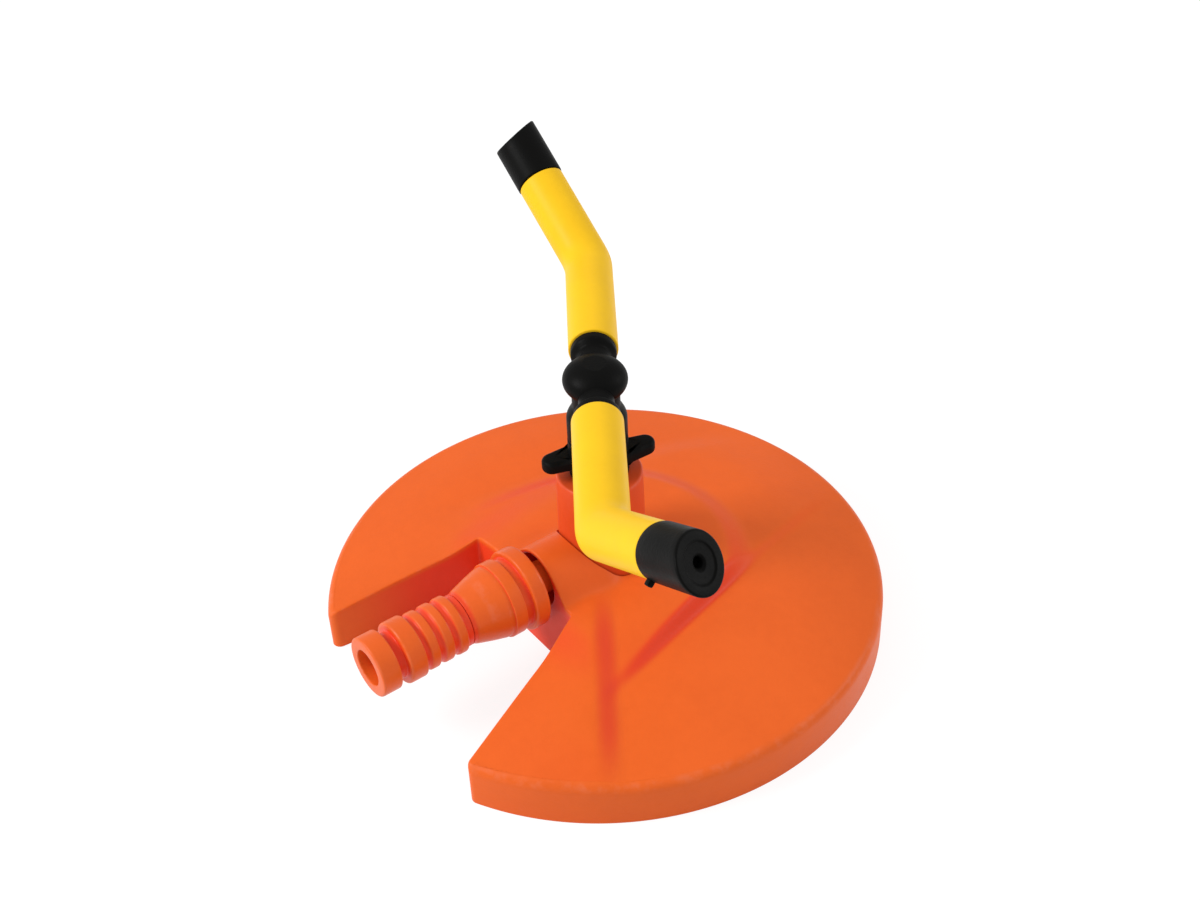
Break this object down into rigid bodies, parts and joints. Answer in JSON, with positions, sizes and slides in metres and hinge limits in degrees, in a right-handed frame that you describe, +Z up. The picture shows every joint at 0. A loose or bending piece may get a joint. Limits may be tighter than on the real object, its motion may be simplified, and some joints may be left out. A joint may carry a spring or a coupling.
{
  "type": "two-arm sprinkler",
  "caption": "Lawn sprinkler: moulded disc base with a riser, a quick hose connector, and a spinning head with bent arms and twisting end nozzles.",
  "frame": {"origin": "on the riser's axis, at the ground under the riser's foot", "axes": "+Z up along the riser, -Y out along the hose connector, +X to the right of it, along the arms' longest reach"},
  "size_m": [0.3006, 0.2469, 0.1715],
  "materials": {
    "orange_shell": "moulded orange plastic with a satin grain",
    "orange_riser": "moulded orange plastic, satin",
    "orange_connector": "moulded orange plastic, satin, with fine turning lines",
    "yellow_arm": "smooth yellow plastic tube",
    "black_plastic": "moulded black plastic",
    "black_head": "moulded black plastic, slightly glossy",
    "black_nozzle": "moulded black plastic, slightly glossy",
    "white_plastic": "plain off-white acetal",
    "seal_rubber": "dark grey rubber",
    "screw_steel": "plain stainless steel",
    "screen_steel": "plain stainless steel",
    "claw_steel": "plain stainless steel",
    "spring_steel": "drawn spring steel wire",
    "spindle_steel": "turned stainless steel"
  },
  "bodies": {
    "base": {"base_shell": "orange_shell", "riser": "orange_riser", "riser_screw_1": "screw_steel", "riser_screw_2": "screw_steel", "riser_screw_3": "screw_steel", "riser_screw_4": "screw_steel", "filter_screen": "screen_steel", "plug_washer": "seal_rubber", "inlet_plug": "orange_connector", "neck_gasket": "seal_rubber", "bearing_sleeve": "white_plastic"},
    "collar": {"wing_collar": "black_plastic"},
    "head": {"head_hub": "black_head", "spindle": "spindle_steel", "spindle_oring": "seal_rubber", "thrust_washer_upper": "white_plastic", "thrust_washer_lower": "white_plastic", "retaining_ring": "spring_steel", "arm_a": "yellow_arm", "arm_b": "yellow_arm", "arm_oring_a": "seal_rubber", "arm_oring_b": "seal_rubber"},
    "nozzle_end_a": {"nozzle_a": "black_nozzle", "nozzle_oring_a": "seal_rubber"},
    "nozzle_end_b": {"nozzle_b": "black_nozzle", "nozzle_oring_b": "seal_rubber"},
    "connector": {"connector_body": "orange_connector", "connector_oring": "seal_rubber", "locking_claw_1": "claw_steel", "locking_claw_2": "claw_steel", "locking_claw_3": "claw_steel", "sleeve_spring": "spring_steel"},
    "sleeve": {"release_sleeve": "orange_connector"},
    "nut": {"clamp_nut": "orange_connector", "hose_gripper": "white_plastic"}
  },
  "joints": [
    {"name": "head_spin", "type": "hinge", "parent": "base", "child": "head", "pos_m": [0, 0, 0.1278], "axis": [0, 0, 1], "continuous": true},
    {"name": "collar_turn", "type": "hinge", "parent": "base", "child": "collar", "pos_m": [0, 0, 0.091], "axis": [0, 0, 1], "range_deg": [0, 90]},
    {"name": "nozzle_a_twist", "type": "hinge", "parent": "head", "child": "nozzle_end_a", "pos_m": [0.07613, -0.05272, 0.1278], "axis": [0.8761, -0.0921, 0.4733], "range_deg": [-90, 90]},
    {"name": "nozzle_b_twist", "type": "hinge", "parent": "head", "child": "nozzle_end_b", "pos_m": [-0.07613, 0.05272, 0.1278], "axis": [-0.8761, 0.0921, 0.4733], "range_deg": [-90, 90]},
    {"name": "connector_swivel", "type": "hinge", "parent": "base", "child": "connector", "pos_m": [0, -0.05, 0.0394], "axis": [0, -1, 0], "continuous": true},
    {"name": "sleeve_release", "type": "slide", "parent": "connector", "child": "sleeve", "axis": [0, -1, 0], "range_m": [0, 0.0035], "stiffness_N_per_m": 1500, "springref_m": -0.002, "deforming": ["sleeve_spring"]},
    {"name": "clamp_nut_turn", "type": "hinge", "parent": "connector", "child": "nut", "pos_m": [0, -0.1, 0.0394], "axis": [0, -1, 0], "range_deg": [0, 270]}
  ]
}
